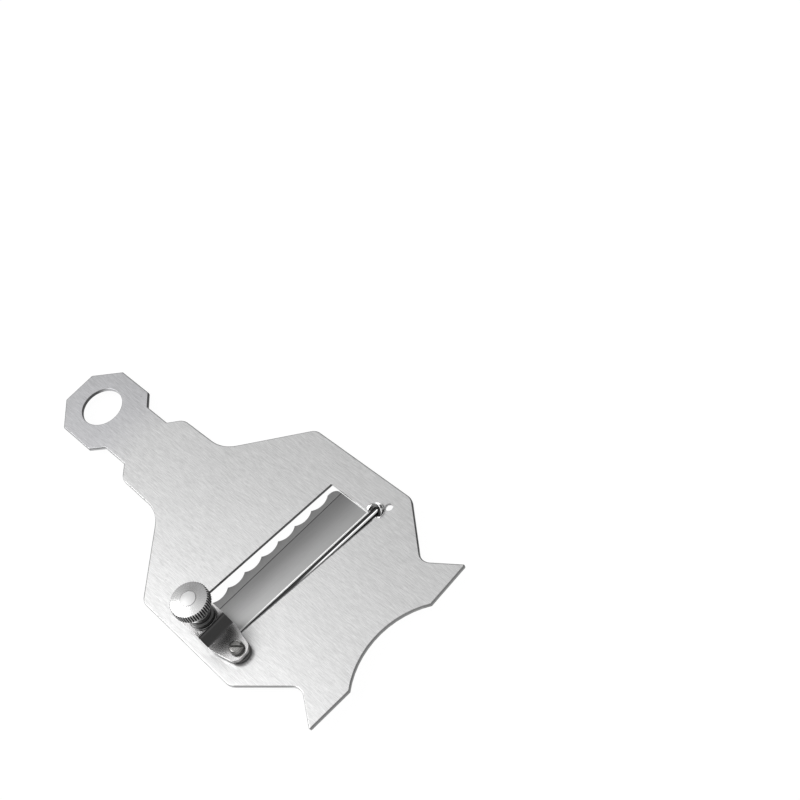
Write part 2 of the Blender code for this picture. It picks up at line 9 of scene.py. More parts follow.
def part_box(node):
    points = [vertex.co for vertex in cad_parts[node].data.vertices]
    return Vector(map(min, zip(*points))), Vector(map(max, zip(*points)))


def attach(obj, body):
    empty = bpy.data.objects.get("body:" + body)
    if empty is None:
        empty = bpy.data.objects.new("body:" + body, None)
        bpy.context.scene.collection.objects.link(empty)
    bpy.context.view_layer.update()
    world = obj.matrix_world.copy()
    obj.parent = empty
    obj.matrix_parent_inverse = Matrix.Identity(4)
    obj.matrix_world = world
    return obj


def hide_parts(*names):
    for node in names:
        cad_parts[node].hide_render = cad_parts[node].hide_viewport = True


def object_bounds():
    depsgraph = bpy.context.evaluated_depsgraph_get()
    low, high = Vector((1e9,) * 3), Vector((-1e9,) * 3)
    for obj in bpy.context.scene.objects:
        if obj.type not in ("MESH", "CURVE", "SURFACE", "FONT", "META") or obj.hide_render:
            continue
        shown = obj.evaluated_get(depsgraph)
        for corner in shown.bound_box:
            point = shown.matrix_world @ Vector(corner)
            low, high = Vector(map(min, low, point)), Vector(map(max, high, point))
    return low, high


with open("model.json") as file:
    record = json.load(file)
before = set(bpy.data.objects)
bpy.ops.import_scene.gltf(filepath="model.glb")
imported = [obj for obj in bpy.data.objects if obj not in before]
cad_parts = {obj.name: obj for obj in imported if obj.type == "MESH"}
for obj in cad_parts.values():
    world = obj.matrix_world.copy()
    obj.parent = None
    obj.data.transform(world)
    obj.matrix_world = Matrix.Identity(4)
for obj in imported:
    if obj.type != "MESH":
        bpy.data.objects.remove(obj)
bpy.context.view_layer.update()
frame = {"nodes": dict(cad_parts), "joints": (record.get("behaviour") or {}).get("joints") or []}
MM = 0.001


# The body plate: one piece of 1.5 mm stainless sheet, stamped to shape with the window and holes and
# brushed along the handle. The press leaves its walls dull, and rolls its outer upper edge over. Painted
# shade darkens the walls and the rolled edge, and the hood, pressed up out of the same sheet, carries a
# painted highlight on its crest.

class Tone:
    """A number that varies over a surface, so that it can be written in plain sums."""

    def __init__(self, finish, socket):
        self.finish = finish
        self.socket = socket

    def worked(self, operation, first, second):
        made = self.finish.node("ShaderNodeMath", {"operation": operation}, {0: first, 1: second})
        return Tone(self.finish, made.outputs[0])

    def __add__(self, other):
        return self.worked("ADD", self, other)

    def __radd__(self, other):
        return self.worked("ADD", other, self)

    def __sub__(self, other):
        return self.worked("SUBTRACT", self, other)

    def __rsub__(self, other):
        return self.worked("SUBTRACT", other, self)

    def __neg__(self):
        return self.worked("SUBTRACT", 0.0, self)

    def __mul__(self, other):
        return self.worked("MULTIPLY", self, other)

    def __rmul__(self, other):
        return self.worked("MULTIPLY", other, self)

    def __truediv__(self, other):
        return self.worked("DIVIDE", self, other)

    def __pow__(self, other):
        return self.worked("POWER", self, other)

    def __gt__(self, other):
        return self.worked("GREATER_THAN", self, other)

    def __abs__(self):
        return self.worked("ABSOLUTE", self, 0.0)

    def between(self, low, high):
        """0 below low and 1 above high, with a soft step from one to the other."""
        return self.finish.tone("ShaderNodeMapRange", {"interpolation_type": "SMOOTHSTEP"},
                                {"Value": self, "From Min": low, "From Max": high})


class Finish:
    """The nodes of one finish: a metal, the table's paper or the studio round the table."""

    def __init__(self, owner):
        owner.use_nodes = True
        self.owner = owner
        self.tree = owner.node_tree

    def node(self, kind, settings=None, inputs=None):
        made = self.tree.nodes.new(kind)
        for key, value in (settings or {}).items():
            if key == "stops":
                ramp = made.color_ramp
                while len(ramp.elements) < len(value):
                    ramp.elements.new(1.0)
                for element, (position, level) in zip(ramp.elements, value):
                    element.position = position
                    element.color = grey(level)
            else:
                setattr(made, key, value)
        for key, value in (inputs or {}).items():
            self.feed(made.inputs[key], value)
        return made

    def feed(self, socket, value):
        value = getattr(value, "socket", value)
        if isinstance(value, bpy.types.NodeSocket):
            self.tree.links.new(value, socket)
        else:
            socket.default_value = value

    def tone(self, kind, settings=None, inputs=None, output=0):
        return Tone(self, self.node(kind, settings, inputs).outputs[output])

    def parts(self, vector):
        made = self.node("ShaderNodeSeparateXYZ", None, {0: vector})
        return [Tone(self, made.outputs[i]) for i in range(3)]

    def likeness(self, vector, direction):
        """How near a direction on the surface or in the room is to this one: 1 where they agree."""
        return self.tone("ShaderNodeVectorMath", {"operation": "DOT_PRODUCT"},
                         {0: vector, 1: tuple(Vector(direction).normalized())}, "Value")

    def mixed(self, share, first, second):
        made = self.node("ShaderNodeMix", {"data_type": "RGBA"}, {0: share, 6: first, 7: second})
        return made.outputs[2]


def grey(value):
    return (value, value, value, 1.0)


class Steel(Finish):
    """A steel finish. Its textures lie in the piece's own millimetres."""

    def __init__(self, name):
        super().__init__(bpy.data.materials.new(name))
        self.shader = self.tree.nodes["Principled BSDF"]
        self.shader.inputs["Metallic"].default_value = 1.0
        coordinates = self.node("ShaderNodeTexCoord")
        self.place = coordinates.outputs["Object"]
        self.normal = coordinates.outputs["Normal"]
        self.facing = self.parts(self.normal)

    def laid(self, scale, centre=(0, 0, 0), turn=(0, 0, 0)):
        """The place on the piece, counted in steps of this scale in a frame of its own."""
        return self.node("ShaderNodeMapping", {"vector_type": "TEXTURE"}, {
            "Vector": self.place, "Location": centre, "Rotation": turn, "Scale": scale}).outputs[0]

    def millimetres(self, centre=(0, 0, 0), turn=(0, 0, 0)):
        """The place on the piece in millimetres, along each axis of a frame of its own."""
        return self.parts(self.laid((MM, MM, MM), centre, turn))

    def noise(self, scale, detail=2.0, centre=(0, 0, 0), turn=(0, 0, 0)):
        """Mottling, or streaks where one side of the scale is much longer than the others."""
        return self.tone("ShaderNodeTexNoise", None, {
            "Vector": self.laid(scale, centre, turn), "Scale": 1.0, "Detail": detail, "Roughness": 0.6})

    def coloured(self, red, green, blue):
        return self.node("ShaderNodeCombineColor", None, {0: red, 1: green, 2: blue}).outputs[0]

    def set(self, socket, value):
        self.feed(self.shader.inputs[socket], value)

    def look(self, tone, roughness):
        """One grey tone for the colour, and how dull the metal is."""
        self.set("Base Color", self.coloured(tone, tone, tone))
        self.set("Roughness", roughness)

    def raise_by(self, height, distance):
        self.set("Normal", self.node("ShaderNodeBump", None, {
            "Height": height, "Distance": distance, "Strength": 1.0}).outputs[0])


weld_distance = 0.002 * MM


def copied(node):
    """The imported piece's mesh with its loose triangles joined and its flats whole."""
    shape = bmesh.new()
    shape.from_mesh(frame["nodes"][node].data)
    bmesh.ops.remove_doubles(shape, verts=shape.verts, dist=weld_distance)
    bmesh.ops.dissolve_limit(shape, angle_limit=radians(0.5), verts=shape.verts, edges=shape.edges)
    return shape


def close_slivers(shape):
    """Takes out the edges and faces that a bevel leaves with no size."""
    bmesh.ops.dissolve_degenerate(shape, dist=weld_distance, edges=shape.edges)


def bevelled(shape, edges, width, segments):
    """Rounds these edges, and gives the faces that this makes."""
    return bmesh.ops.bevel(shape, geom=edges, affect="EDGES", offset=width, offset_type="OFFSET",
                           segments=segments, profile=0.5, material=-1, clamp_overlap=True)["faces"]


def break_corners(shape, width, angle=radians(28), segments=2, left_sharp=lambda edge: False):
    """Rounds every corner that turns more than this, no wider than the shortest of them allows."""
    sharp = [edge for edge in shape.edges
             if edge.is_manifold and edge.calc_face_angle() > angle and not left_sharp(edge)]
    bevelled(shape, sharp, width, segments)
    close_slivers(shape)


def made_piece(name, shape, finish, body, nodes):
    """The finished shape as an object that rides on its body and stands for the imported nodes."""
    mesh = bpy.data.meshes.new(name)
    shape.to_mesh(mesh)
    shape.free()
    mesh.shade_smooth()
    piece = bpy.data.objects.new(name, mesh)
    bpy.context.scene.collection.objects.link(piece)
    mesh.materials.append(finish.owner)
    flats = piece.modifiers.new("flats", "WEIGHTED_NORMAL")
    flats.weight = 100
    flats.keep_sharp = True
    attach(piece, body)
    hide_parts(*nodes)


plate_thickness = 1.5 * MM
plate_corner = 0.06 * MM
outline_roll = 0.55 * MM
hanging_hole_roll = 0.30 * MM
hanging_hole_place = Vector((0, 82.5 * MM))
hanging_hole_reach = 9.5 * MM
screw_hole_place = Vector((-37.5 * MM, -55.1 * MM))
screw_hole_reach = 3.0 * MM
window_left, window_right = -44 * MM, 45 * MM
window_rear, window_front = -64 * MM, -20 * MM
hood_left = 30 * MM
hood_rear, hood_front = -62 * MM, -44 * MM
hood_mouth = (34.6 * MM, -54.1 * MM, 0)
hood_skew = -0.09
handle_start = 60 * MM
grip_start, grip_end = 46 * MM, 74 * MM
tail_start, tail_end = -76 * MM, -84 * MM
rear_edge_place = (0, -52.50 * MM, 0)
rear_edge_slant = -radians(6.06)

# Along and across that edge, in millimetres.
rear_edge_left, rear_edge_right = -41.0, 33.3
rear_line_width = 0.40

# Heights over the sheet's upper face.
face_tolerance = 0.01 * MM
wall_top, wall_clear = 0.01 * MM, 0.12 * MM
hood_foot, hood_clear = 0.10 * MM, 0.30 * MM
mouth_foot = 0.15 * MM

# The sizes of the grain: across the handle, along it and through the sheet.
fine_streak = (0.10 * MM, 3.4 * MM, 1.0 * MM)
broad_streak = (0.8 * MM, 30.0 * MM, 2.0 * MM)
mottle_grain = (0.40 * MM, 0.55 * MM, 2.0 * MM)
cloud_size = (28 * MM, 45 * MM, 20 * MM)
speck_spacing = (7 * MM, 9 * MM, 9 * MM)
waver_size = (0.9 * MM, 0.9 * MM, 0.9 * MM)
tear_size = (0.25 * MM, 0.25 * MM, 1.1 * MM)
streak_depth = 0.004 * MM

brushed = Steel("brushed_plate")
_, along, height = brushed.parts(brushed.place)
over_plate = height - plate_thickness
facing_left = -brushed.facing[0]
flatness = abs(brushed.facing[2])

# The brushed face, a little darker and bluer over the grip, with a few dark specks.
fine_streaks = brushed.noise(fine_streak)
broad_streaks = brushed.noise(broad_streak, 3.0)
mottle = brushed.noise(mottle_grain)
cloud = brushed.noise(cloud_size)
streaks = (fine_streaks - 0.5) * 0.66 + (broad_streaks - 0.5) * 0.05 + (mottle - 0.5) * 0.07
grip = along.between(grip_start, grip_end)
sheet_tone = (0.665 + streaks + (cloud - 0.5) * 0.05) * (1 - grip * 0.14)
speck_cell = brushed.node("ShaderNodeTexVoronoi", None, {
    "Vector": brushed.laid(speck_spacing), "Scale": 1.0})
speck_pick = brushed.parts(speck_cell.outputs["Color"])[0] > 0.72
specks = (1 - Tone(brushed, speck_cell.outputs["Distance"]).between(0.018, 0.04)) * speck_pick

# Painted shade on the rolled edge, but not on the side that faces the light on the left, and weaker where the
# roll lies flat.
outwards = (brushed.facing[0] * brushed.facing[0] + brushed.facing[1] * brushed.facing[1] + 0.0001) ** 0.5
leftwards = (facing_left / outwards).between(0.62, 0.92)
rolled_edge_shade = brushed.tone("ShaderNodeAttribute", {"attribute_name": "rolled"}, None, "Fac")
rolled_edge_shade = rolled_edge_shade * (1 - leftwards) * (1 - flatness.between(0.985, 0.9999) * 0.4)

# Painted shade: a dark, wavering band on the sheet along the window's rear edge, beside the rod.
edge_along, edge_across, _ = brushed.millimetres(rear_edge_place, (0, 0, rear_edge_slant))
wavering = brushed.noise(waver_size)
rear_edge_shade = (edge_across + (wavering - 0.5) * 0.5).between(-rear_line_width - 0.10, 0.10 - rear_line_width)
rear_edge_shade = rear_edge_shade * (1 - edge_across.between(0.05, 0.15)) * (height > 0.5 * plate_thickness)
rear_edge_shade = rear_edge_shade * edge_along.between(rear_edge_left - 0.2, rear_edge_left + 0.2)
rear_edge_shade = rear_edge_shade * (1 - edge_along.between(rear_edge_right - 0.3, rear_edge_right + 0.3))

# Painted shade on the sheared walls, except where they face the light on the left, paler at the tail's tips;
# on the hood, painted shade on its front side and in its mouth, and a painted highlight on its crest.
tears = brushed.noise(tear_size, 3.0)
upright = 1 - flatness.between(0.45, 0.75)
sheared = upright * (1 - over_plate.between(wall_top, wall_clear))
sheared = sheared * (1 - facing_left.between(0.35, 0.90) * 0.85)
at_tail = 1 - along.between(tail_end, tail_start)
on_hood = over_plate.between(hood_foot, hood_clear)
hood_lit_side = brushed.facing[1].between(-0.82, -0.55)
mouth_rim_shade = facing_left.between(0.35, 0.5) * (over_plate > mouth_foot)
mouth_front = brushed.millimetres(hood_mouth, (0, 0, hood_skew))[1].between(-0.4, 0.6)

plate_colour = brushed.coloured(sheet_tone, sheet_tone, sheet_tone * (1 + grip * 0.025))
for share, laid_over in (
        (specks * 0.65, grey(0.18)),
        (rolled_edge_shade * 0.80, grey(0.10)),
        (rear_edge_shade * 0.85, grey(0.08)),
        (sheared * (0.86 + tears * 0.14), brushed.mixed(at_tail, grey(0.05), grey(0.24))),
        (on_hood, brushed.mixed(hood_lit_side, grey(0.08), grey(0.80))),
        (mouth_rim_shade, brushed.mixed(mouth_front, grey(0.04), grey(0.30)))):
    plate_colour = brushed.mixed(share, plate_colour, laid_over)
brushed.set("Base Color", plate_colour)
brushed.set("Roughness", 0.33 + (fine_streaks - 0.5) * 0.12 + sheared * 0.17 - on_hood * 0.12)
brushed.raise_by(fine_streaks * 0.6 + broad_streaks * 0.4, streak_depth)


def on_outline(place):
    """Outside the window and holes: the press rolls the plate's outer edge over, but not theirs."""
    flat = place.to_2d()
    in_window = window_left < flat.x < window_right and window_rear < flat.y < window_front
    in_hanging_hole = (flat - hanging_hole_place).length < hanging_hole_reach
    in_screw_hole = (flat - screw_hole_place).length < screw_hole_reach
    return not (in_window or in_hanging_hole or in_screw_hole)


def on_handle(place):
    return place.y > handle_start


def rolled_over(shape, chosen, width, segments):
    """Rounds the sheet's sharp upper edges in the chosen places, and gives the faces of the roll."""
    edges = [edge for edge in shape.edges if edge.calc_face_angle() > radians(60)
             and all(abs(vert.co.z - plate_thickness) < face_tolerance for vert in edge.verts)
             and all(chosen(vert.co) for vert in edge.verts)]
    return bevelled(shape, edges, width, segments)


def beside_hood(edge):
    """The short edges round the hood, which would hold every corner on the plate to their width."""
    return any(vert.co.x > hood_left and hood_rear < vert.co.y < hood_front for vert in edge.verts)


plate = copied("body_plate")
rolled = plate.faces.layers.float.new("rolled")
rolled_faces = rolled_over(plate, on_outline, outline_roll, 4)
rolled_faces += rolled_over(plate, on_handle, hanging_hole_roll, 3)
for face in rolled_faces:
    if face.is_valid:
        face[rolled] = 1.0
close_slivers(plate)
break_corners(plate, plate_corner, radians(50), left_sharp=beside_hood)
made_piece("plate", plate, brushed, "frame", ["body_plate"])


# The blade: a ground strip of hardened steel, darker and duller than the plate, with the scalloped
# edge ground to a bevel from above. The grinding marks run across the bevel.
def joint_named(name):
    return next(joint for joint in frame["joints"] if joint["name"] == name)


tilt = joint_named("blade_tilt")
pivot_place = Vector(tilt["pos_m"])
rod_along = Vector(tilt["axis"]).normalized()
rod_across = Vector((0, 0, 1)).cross(rod_along).normalized()
rod_up = rod_along.cross(rod_across)
rod_frame = Matrix.Translation(pivot_place) @ Matrix((rod_along, rod_across, rod_up)).transposed().to_4x4()
rod_turn = rod_frame.to_euler()


def lengthwise(node):
    """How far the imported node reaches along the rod's axis, before and after the pivot."""
    places = [(vert.co - pivot_place).dot(rod_along) for vert in frame["nodes"][node].data.vertices]
    return min(places), max(places)


def keep_crisp(shape, low, high=pi):
    """Leaves the edges that turn by an angle between these two sharp to the light."""
    for edge in shape.edges:
        edge.smooth = edge.is_manifold and not low < edge.calc_face_angle() < high


blade_corner = 0.04 * MM
end_shade_inside, end_shade_outside = 0.62 * MM, 0.40 * MM
roll_mark = (12 * MM, 0.14 * MM, 1 * MM)
haze_patch = (22 * MM, 6 * MM, 5 * MM)
wheel_mark = (0.16 * MM, 6 * MM, 1 * MM)

# Across the blade these are millimetres from the rod's axis, from which the bevel's line leans.
bevel_start = 16.2
bevel_lean = 0.02304
rear_highlight_start = 1.8
bevel_shade_start, bevel_shade_width = 3, 13
dish_start = 4
end_shade_start = 7.0

# Along the blade these are millimetres from the pivot.
rim_dim, rim_bright = -30, -6

# Depths in millimetres, the dish's for each square millimetre out from its start.
mark_depth = 0.004
dish_depth = 0.0045

ground = Steel("ground_blade")
blade_along, blade_across, _ = ground.millimetres(pivot_place, rod_turn)
roll_marks = ground.noise(roll_mark, 3.0, pivot_place, rod_turn)
haze = ground.noise(haze_patch, 2.0, pivot_place, rod_turn)
wheel_marks = ground.noise(wheel_mark, 3.0, pivot_place, rod_turn)
upper_face = ground.facing[2] > 0.5
past_line = blade_across - bevel_start - blade_along * bevel_lean
bevel = past_line.between(-0.05, 0.05) * upper_face
# Painted shade: a dark line along the bevel's edge, darker sides, and the flat darkening towards the bevel.
bevel_line = (1 - abs(past_line).between(0.10, 0.30)) * upper_face
side = 1 - abs(ground.facing[2]).between(0.5, 0.8)
bevel_shade = (blade_across - bevel_shade_start).between(0, bevel_shade_width)
# A painted highlight along the blade's rear edge, dimmed towards the bracket where its shadow falls.
rear_highlight = 1 - (blade_across - rear_highlight_start).between(0.20, 0.55)
# Painted shade at the blade's end, where it meets the gap before the window's wall.
past_end = blade_along * MM - lengthwise("blade")[1]
end_shade = past_end.between(-end_shade_inside, -end_shade_outside)
end_shade = end_shade * (blade_across > end_shade_start)
flat_tone = 0.325 + (roll_marks - 0.5) * 0.05 + (haze - 0.5) * 0.04 - bevel_shade * 0.11
bevel_tone = 0.25 + (wheel_marks - 0.5) * 0.10
blade_tone = (flat_tone * (1 - bevel) + bevel_tone * bevel) * (1 - side * 0.45) * (1 - bevel_line * 0.6)
blade_tone = blade_tone + rear_highlight * (0.24 + blade_along.between(rim_dim, rim_bright) * 0.38)
ground.look(blade_tone * (1 - end_shade * 0.88), 0.34 + (roll_marks - 0.5) * 0.10 + bevel * 0.08)
dished = (blade_across - dish_start) * (blade_across - dish_start) * (blade_across > dish_start) * (1 - bevel)
marks = (1 - bevel) * roll_marks * 0.6 + bevel * wheel_marks
ground.raise_by(marks * mark_depth - dished * dish_depth, MM)

blade = copied("blade")
break_corners(blade, blade_corner, radians(30))
keep_crisp(blade, radians(5))
made_piece("ground_blade", blade, ground, "blade_unit", ["blade"])


# The hinge rod: 3 mm drawn steel rod, polished, its ends chamfered. The blade is brazed along it. A
# painted highlight runs along its top and fades towards the bracket, and painted shade darkens the rest of
# its upper side.
lathe_weld = 0.0005 * MM


def turned(profile, steps, closed=True):
    """A lathe-turned shape about Z from (radius, height) points, as bmesh."""
    shape = bmesh.new()
    verts = [shape.verts.new((radius, 0, height)) for radius, height in profile]
    edges = [shape.edges.new(pair) for pair in zip(verts, verts[1:])]
    if closed:
        edges.append(shape.edges.new((verts[-1], verts[0])))
    bmesh.ops.spin(shape, geom=verts + edges, cent=(0, 0, 0), axis=(0, 0, 1), angle=2 * pi,
                   steps=steps, use_merge=True, use_duplicate=False)
    bmesh.ops.remove_doubles(shape, verts=shape.verts, dist=lathe_weld)
    bmesh.ops.recalc_face_normals(shape, faces=shape.faces)
    return shape


rod_radius = 1.5 * MM
rod_chamfer = 0.4 * MM
rod_end_radius = rod_radius - rod_chamfer
rod_corner = 0.06 * MM
rod_highlight_lean = radians(34)
draw_line = (16 * MM, 0.10 * MM, 0.10 * MM)
rod_patch = (5 * MM, 2 * MM, 2 * MM)
draw_depth = 0.003 * MM

# In millimetres along the rod from the pivot.
rod_highlight_end, rod_highlight_full = -6, 12

drawn = Steel("drawn_rod")
draw_lines = drawn.noise(draw_line, 3.0, pivot_place, rod_turn)
rod_haze = drawn.noise(rod_patch, 3.0, pivot_place, rod_turn)
upwards = drawn.likeness(drawn.normal, rod_up * cos(rod_highlight_lean) - rod_across * sin(rod_highlight_lean))
from_pivot = drawn.millimetres(pivot_place, rod_turn)[0]
# A painted highlight along the rod's top, and painted shade on the rest of its upper side.
rod_highlight = upwards.between(0.94, 0.975) * from_pivot.between(rod_highlight_end, rod_highlight_full)
rod_shade = (1 - rod_highlight) * upwards.between(-0.20, 0.02)
drawn.look((0.82 + (draw_lines - 0.5) * 0.14) * (1 - rod_shade * 0.94),
           0.13 + draw_lines * 0.08 + rod_haze * 0.05)
drawn.raise_by(draw_lines, draw_depth)

rod_start, rod_finish = lengthwise("hinge_rod")
rod = turned([(0, rod_finish), (rod_end_radius, rod_finish), (rod_radius, rod_finish - rod_chamfer),
              (rod_radius, rod_start + rod_chamfer), (rod_end_radius, rod_start), (0, rod_start)],
             steps=48, closed=False)
bmesh.ops.transform(rod, matrix=rod_frame @ Matrix.Rotation(pi / 2, 4, "Y"), verts=rod.verts)
break_corners(rod, rod_corner, radians(25))
made_piece("drawn_rod", rod, drawn, "blade_unit", ["hinge_rod"])


# The rod keeper: a short strap of mild steel, satin, fixed under the hood, with the rod's groove
# milled in it. The photograph doesn't show it.
keeper_corner = 0.12 * MM
strap_streak = (2.5 * MM, 0.12 * MM, 0.3 * MM)
strap_depth = 0.006 * MM

satin = Steel("satin_strap")
strap_grain = satin.noise(strap_streak, 3.0)
satin.look(0.52 + (strap_grain - 0.5) * 0.16, 0.36 + strap_grain * 0.12)
satin.raise_by(strap_grain, strap_depth)

keeper = copied("rod_keeper")
break_corners(keeper, keeper_corner)
made_piece("keeper_strap", keeper, satin, "frame", ["rod_keeper"])


# The bearing block: milled from bar, with the cutter's marks across it, and held up under the plate
# by the bracket's screw. The photograph doesn't show it.
block_corner = 0.15 * MM
cutter_mark = (6 * MM, 0.16 * MM, 6 * MM)
block_patch = (4 * MM, 5 * MM, 3 * MM)
cutter_depth = 0.008 * MM

milled = Steel("milled_block")
cutter_marks = milled.noise(cutter_mark)
block_cloud = milled.noise(block_patch, 3.0)
milled.look(0.48 + (cutter_marks - 0.5) * 0.14 + (block_cloud - 0.5) * 0.08, 0.36 + cutter_marks * 0.14)
milled.raise_by(cutter_marks, cutter_depth)

block = copied("bearing_block")
break_corners(block, block_corner)
made_piece("milled_block", block, milled, "frame", ["bearing_block"])


# The bracket: a strip of 1.5 mm sheet bent in a Z and polished, so that it mirrors the knob over it.
# Painted shade darkens its edges and the slope between its two flats, which is also duller.
bracket_corner = 0.11 * MM
slope_gap = 1.5 * MM
slope_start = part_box("bracket_screw")[1].y + slope_gap
lap_mark = (0.12 * MM, 4 * MM, 4 * MM)
bracket_patch = (2.2 * MM, 3.0 * MM, 3.0 * MM)
lap_depth = 0.00006 * MM

polished = Steel("polished_bracket")
lap_marks = polished.noise(lap_mark, 3.0)
bracket_haze = polished.noise(bracket_patch, 3.0)
past_screw = polished.parts(polished.place)[1] > slope_start
# Painted shade on the slope between the flats and on the sheet's edges.
leaning = (-polished.facing[1]).between(0.06, 0.24) * past_screw
edge_side = 1 - abs(polished.facing[2]).between(0.25, 0.5)
bracket_tone = (0.60 + (bracket_haze - 0.5) * 0.06) * (1 - leaning * 0.91)
polished.set("Base Color", polished.mixed(
    edge_side * 0.5, polished.coloured(bracket_tone * 1.01, bracket_tone, bracket_tone), grey(0.15)))
polished.set("Roughness", 0.20 + lap_marks * 0.03 + bracket_haze * 0.04 + leaning * 0.10)
polished.raise_by(lap_marks, lap_depth)

bracket = copied("bracket")
break_corners(bracket, bracket_corner, radians(75), 3)
keep_crisp(bracket, radians(34), radians(75))
made_piece("polished_bracket", bracket, polished, "frame", ["bracket"])


# The spacer ring under the bracket's tail: turned from bar steel and left black. The bracket's screw
# passes through it and clamps it to the plate.
ring_low, ring_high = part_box("spacer_ring")
ring_centre = (ring_low + ring_high) / 2
ring_radius = (ring_high.x - ring_low.x) / 2
ring_bore = 1.8 * MM
ring_corner = 0.10 * MM
ring_mark = (0.6 * MM, 0.6 * MM, 0.09 * MM)
ring_mark_depth = 0.006 * MM

dark_ring = Steel("dark_ring")
ring_marks = dark_ring.noise(ring_mark, 3.0)
dark_ring.look(0.13 + (ring_marks - 0.5) * 0.08, 0.34 + ring_marks * 0.16)
dark_ring.raise_by(ring_marks, ring_mark_depth)

ring = turned([(ring_bore, ring_high.z), (ring_radius, ring_high.z), (ring_radius, ring_low.z),
               (ring_bore, ring_low.z)], steps=64)
break_corners(ring, ring_corner)
bmesh.ops.translate(ring, verts=ring.verts, vec=(ring_centre.x, ring_centre.y, 0))
made_piece("spacer", ring, dark_ring, "frame", ["spacer_ring"])


# The bracket's screw: an M3 pan head with one slot, turned and nickel plated. It has dulled with use,
# and painted shade darkens its side and the slot's walls.
def round_axis(finish, axis):
    """How far a place is from an upright axis, and how high it is, in millimetres."""
    across, along, height = finish.millimetres(axis)
    return (across * across + along * along) ** 0.5, height


def lathe_rings(finish, count, detail=2.0):
    """Fine rings, as a lathe tool leaves them, where count says which ring a place is on."""
    return finish.tone("ShaderNodeTexNoise", {"noise_dimensions": "1D"},
                       {"W": count, "Scale": 1.0, "Detail": detail})


screw_low, screw_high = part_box("bracket_screw")
screw_centre = (screw_low + screw_high) / 2
screw_corner = 0.05 * MM
screw_rings_in_a_millimetre = 9.0
grime_grain = (0.8 * MM, 0.8 * MM, 0.8 * MM)
screw_ring_depth = 0.001 * MM

nickel = Steel("nickel_screw")
screw_radius, _ = round_axis(nickel, (screw_centre.x, screw_centre.y, 0))
turning = lathe_rings(nickel, screw_radius * screw_rings_in_a_millimetre)
grime = nickel.noise(grime_grain, 4.0)
# Painted shade on the head's side and on the slot's walls.
screw_wall_shade = 1 - abs(nickel.facing[2]).between(0.05, 0.35)
screw_tone = (0.22 + (turning - 0.5) * 0.12 + (grime - 0.5) * 0.12) * (1 - screw_wall_shade * 0.7)
nickel.set("Base Color", nickel.coloured(screw_tone * 1.02, screw_tone, screw_tone * 0.98))
nickel.set("Roughness", 0.16 + turning * 0.08 + grime * 0.10)
nickel.raise_by(turning, screw_ring_depth)

fastener = copied("bracket_screw")
break_corners(fastener, screw_corner, radians(40))
made_piece("slotted_screw", fastener, nickel, "frame", ["bracket_screw"])


# The threaded bush: turned from bar and clinched in the bracket, so that the thumb screw has a thread
# to run in. Only its thin flange is seen, under the collar.
turn_place = joint_named("knob_turn")["pos_m"]
axis_place = Vector((turn_place[0], turn_place[1], 0))


def ringed(finish, spacing, detail=2.0):
    """The distance from the thumb screw's axis, and rings round it this many millimetres apart."""
    radius, height = round_axis(finish, axis_place)
    return radius, lathe_rings(finish, radius / spacing + height / spacing, detail)


bush_low, bush_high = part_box("threaded_bush")
bush_flange_radius = 5.55 * MM
bush_flange_height = 0.5 * MM
bush_flange_bottom = bush_high.z - bush_flange_height
bush_radius = 3.2 * MM
bush_bore = 2.1 * MM
bush_corner = 0.10 * MM
bush_ring_depth = 0.001 * MM

bush_steel = Steel("turned_bush")
_, bush_rings = ringed(bush_steel, 0.12)
bush_steel.look(0.22 + (bush_rings - 0.5) * 0.12, 0.20 + bush_rings * 0.10)
bush_steel.raise_by(bush_rings, bush_ring_depth)

bush = turned([(bush_bore, bush_high.z), (bush_flange_radius, bush_high.z),
               (bush_flange_radius, bush_flange_bottom), (bush_radius, bush_flange_bottom),
               (bush_radius, bush_low.z), (bush_bore, bush_low.z)], steps=96)
break_corners(bush, bush_corner)
bmesh.ops.translate(bush, verts=bush.verts, vec=axis_place)
made_piece("turned_bush", bush, bush_steel, "frame", ["threaded_bush"])


# The spindle: one turned and polished piece, with the collar under the head, an M4 thread down through
# the bush, cut here as rings, and a neck at its end. Its top is riveted flat in the head.
spindle_low, spindle_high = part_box("spindle")
head_low, head_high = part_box("knob_head")
clip_low, clip_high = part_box("retaining_clip")
washer_low, washer_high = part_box("thrust_washer")
seat_gap = 0.3 * MM
running_gap = 0.1 * MM
collar_top = head_low.z - seat_gap
collar_bottom = bush_high.z + seat_gap
collar_height = collar_top - collar_bottom
lip_radius = 5.1 * MM
lip_share = 0.135
rivet_radius = 3.1 * MM
thread_radius = 2.0 * MM
thread_depth = 0.35 * MM
thread_pitch = 0.7 * MM
neck_radius = 1.2 * MM
groove_radius = 0.95 * MM
groove_top = clip_high.z + running_gap
groove_bottom = clip_low.z - running_gap
stem_shoulder = washer_high.z + seat_gap
spindle_corner = 0.07 * MM
spindle_patch = (1.5 * MM, 1.5 * MM, 1.5 * MM)
spindle_ring_depth = 0.0002 * MM
shaded_side = (0.05, -1.0, 0.0)

chrome = Steel("polished_spindle")
_, spindle_rings = ringed(chrome, 0.10)
spindle_haze = chrome.noise(spindle_patch, 3.0)
on_rivet = chrome.facing[2].between(0.8, 0.95)
collar_share = (chrome.parts(chrome.place)[2] - collar_bottom) * (1 / collar_height)
# Painted shade: the collar's foot and lip and all below them, and the side of the collar that faces the tail,
# are darkened.
collar_foot_shade = 1 - collar_share.between(0.16, 0.30)
shaded = chrome.likeness(chrome.normal, shaded_side).between(0.62, 0.88) * (1 - on_rivet)
spindle_tone = 0.72 + (spindle_rings - 0.5) * 0.04 - on_rivet * 0.02
chrome.look(spindle_tone * (1 - collar_foot_shade * 0.75) * (1 - shaded * 0.75),
            0.07 + spindle_haze * 0.06 + on_rivet * 0.45)
chrome.raise_by(spindle_rings, spindle_ring_depth)

